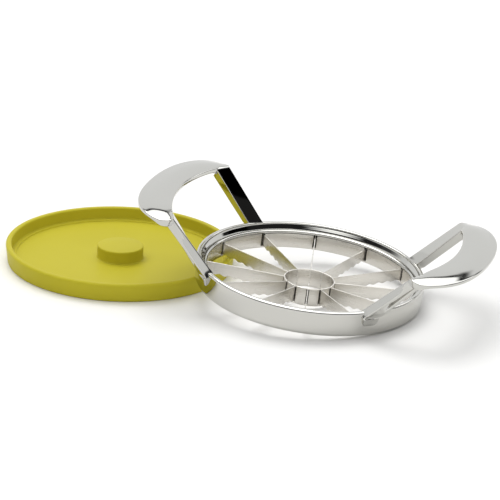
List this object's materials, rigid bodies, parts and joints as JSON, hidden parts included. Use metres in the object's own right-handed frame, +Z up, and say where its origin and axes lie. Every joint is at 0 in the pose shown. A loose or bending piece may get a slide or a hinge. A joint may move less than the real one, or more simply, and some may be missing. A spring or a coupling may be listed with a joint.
{
  "type": "apple slicer and corer with cover",
  "caption": "Fruit slicer and corer: chrome ring with looped side handles, radial scalloped blades and a core ring, leaning on its round green clip-on cover.",
  "frame": {"origin": "middle of the footprint of the set, on the surface that it stands on", "axes": "+X runs from the cover to the slicer along its two handles, +Z is up, and +Y completes the right-handed frame"},
  "size_m": [0.254, 0.1262, 0.0519],
  "materials": {
    "polished_chrome": "polished and chrome plated die casting",
    "satin_stainless": "satin rolled stainless strip",
    "green_plastic": "matte moulded polypropylene, yellow green"
  },
  "bodies": {
    "cover": {"cover": "green_plastic"},
    "slicer": {"ring_frame": "polished_chrome", "retaining_ring": "polished_chrome", "left_handle": "polished_chrome", "right_handle": "polished_chrome", "blade_hoop": "satin_stainless", "core_ring": "satin_stainless", "blade_01": "satin_stainless", "blade_02": "satin_stainless", "blade_03": "satin_stainless", "blade_04": "satin_stainless", "blade_05": "satin_stainless", "blade_06": "satin_stainless", "blade_07": "satin_stainless", "blade_08": "satin_stainless", "blade_09": "satin_stainless", "blade_10": "satin_stainless", "blade_11": "satin_stainless", "blade_12": "satin_stainless"}
  },
  "joints": [
    {"name": "slicer_lift", "type": "slide", "parent": "cover", "child": "slicer", "axis": [0, 0, 1], "range_m": [0, 0.08]}
  ]
}
